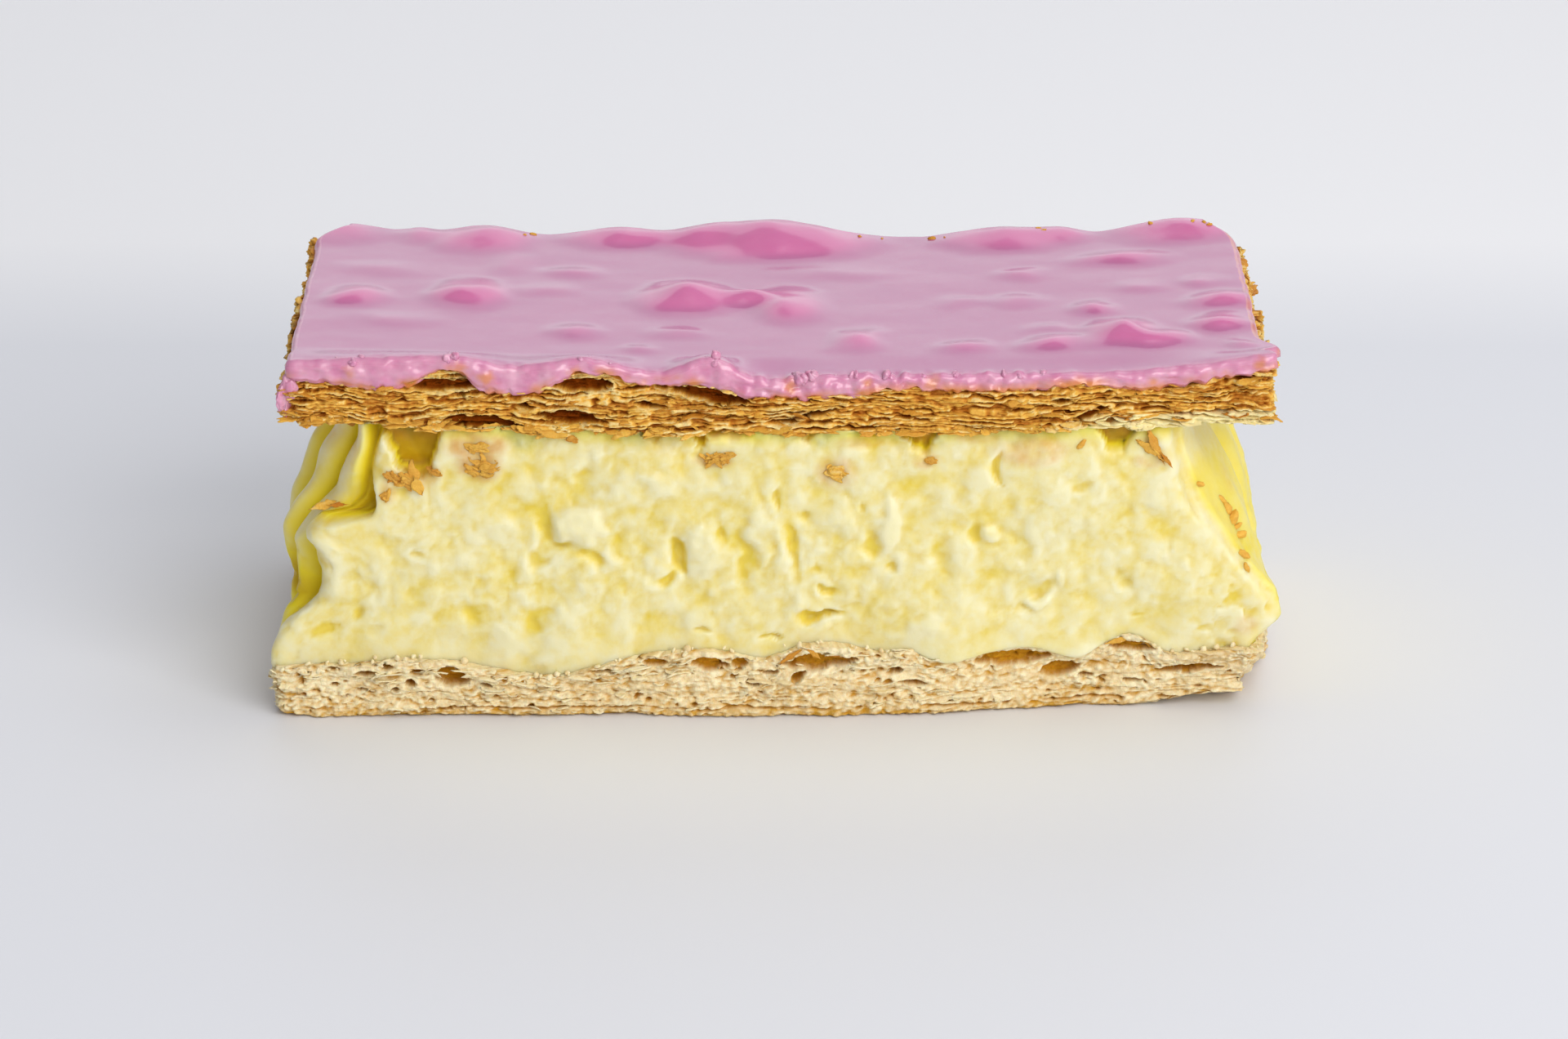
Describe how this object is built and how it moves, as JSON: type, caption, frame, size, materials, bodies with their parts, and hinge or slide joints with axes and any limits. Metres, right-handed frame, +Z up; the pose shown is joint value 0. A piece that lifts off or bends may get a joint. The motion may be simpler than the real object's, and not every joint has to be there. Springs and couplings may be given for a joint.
{
  "type": "mille feuille slice",
  "caption": "Rectangular slice of layered pastry: crisp base, thick custard cream, flaky browned lid that bows up at its ends, and glossy pink icing with blisters.",
  "frame": {"origin": "on the table, under the middle of the slice's box", "axes": "+X along the slice, to the right seen from its front cut; +Y from the front cut to the back one; +Z up"},
  "size_m": [0.1238, 0.0582, 0.0466],
  "materials": {
    "pale_crust": "dry, porous, pale baked puff pastry",
    "custard_yellow": "soft pale yellow custard cream, slightly moist and translucent",
    "brown_crust": "flaky golden brown puff pastry, dry, with dark gaps between its plies",
    "fondant_pink": "glossy pink fondant icing with soft blisters"
  },
  "bodies": {
    "root": {"pastry_base": "pale_crust", "custard": "custard_yellow", "pastry_lid": "brown_crust", "icing": "fondant_pink"}
  },
  "joints": []
}
